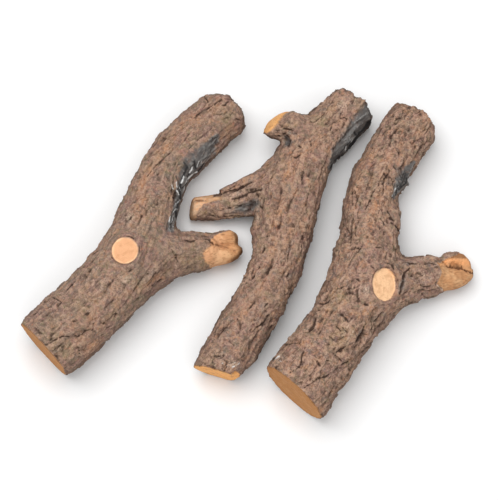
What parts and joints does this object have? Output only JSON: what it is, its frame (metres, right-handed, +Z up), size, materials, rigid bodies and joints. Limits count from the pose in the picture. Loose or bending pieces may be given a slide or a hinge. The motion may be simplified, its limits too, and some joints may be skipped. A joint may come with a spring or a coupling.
{
  "type": "gas log set",
  "caption": "Loose branch-shaped refractory logs with forks, sawn knots and painted bark, laid side by side to dress a gas burner.",
  "frame": {"origin": "middle of the whole set, on the surface that the logs lie on", "axes": "+X to the right across the set, +Y away from the viewer towards the logs' upper ends, +Z up"},
  "size_m": [0.5444, 0.417, 0.0874],
  "materials": {
    "painted_bark": "cast refractory with bark relief, painted grey-brown with dry-brushed tan, bare-wood coloured sawn faces, dead matt",
    "rod_steel": "plain hot-rolled round bar, mill scale",
    "wire_steel": "annealed black tie wire"
  },
  "bodies": {
    "centre_log": {"centre_log_casting": "painted_bark", "centre_trunk_rod": "rod_steel", "centre_branch_rod": "rod_steel", "centre_tie_wire": "wire_steel"},
    "left_log": {"left_log_casting": "painted_bark", "left_trunk_rod": "rod_steel", "left_branch_rod": "rod_steel", "left_tie_wire": "wire_steel"},
    "right_log": {"right_log_casting": "painted_bark", "right_trunk_rod": "rod_steel", "right_branch_rod": "rod_steel", "right_tie_wire": "wire_steel"}
  },
  "joints": [
    {"name": "left_log_lift", "type": "slide", "parent": "centre_log", "child": "left_log", "axis": [0, 0, 1], "range_m": [0, 0.25]},
    {"name": "right_log_lift", "type": "slide", "parent": "centre_log", "child": "right_log", "axis": [0, 0, 1], "range_m": [0, 0.25]}
  ]
}
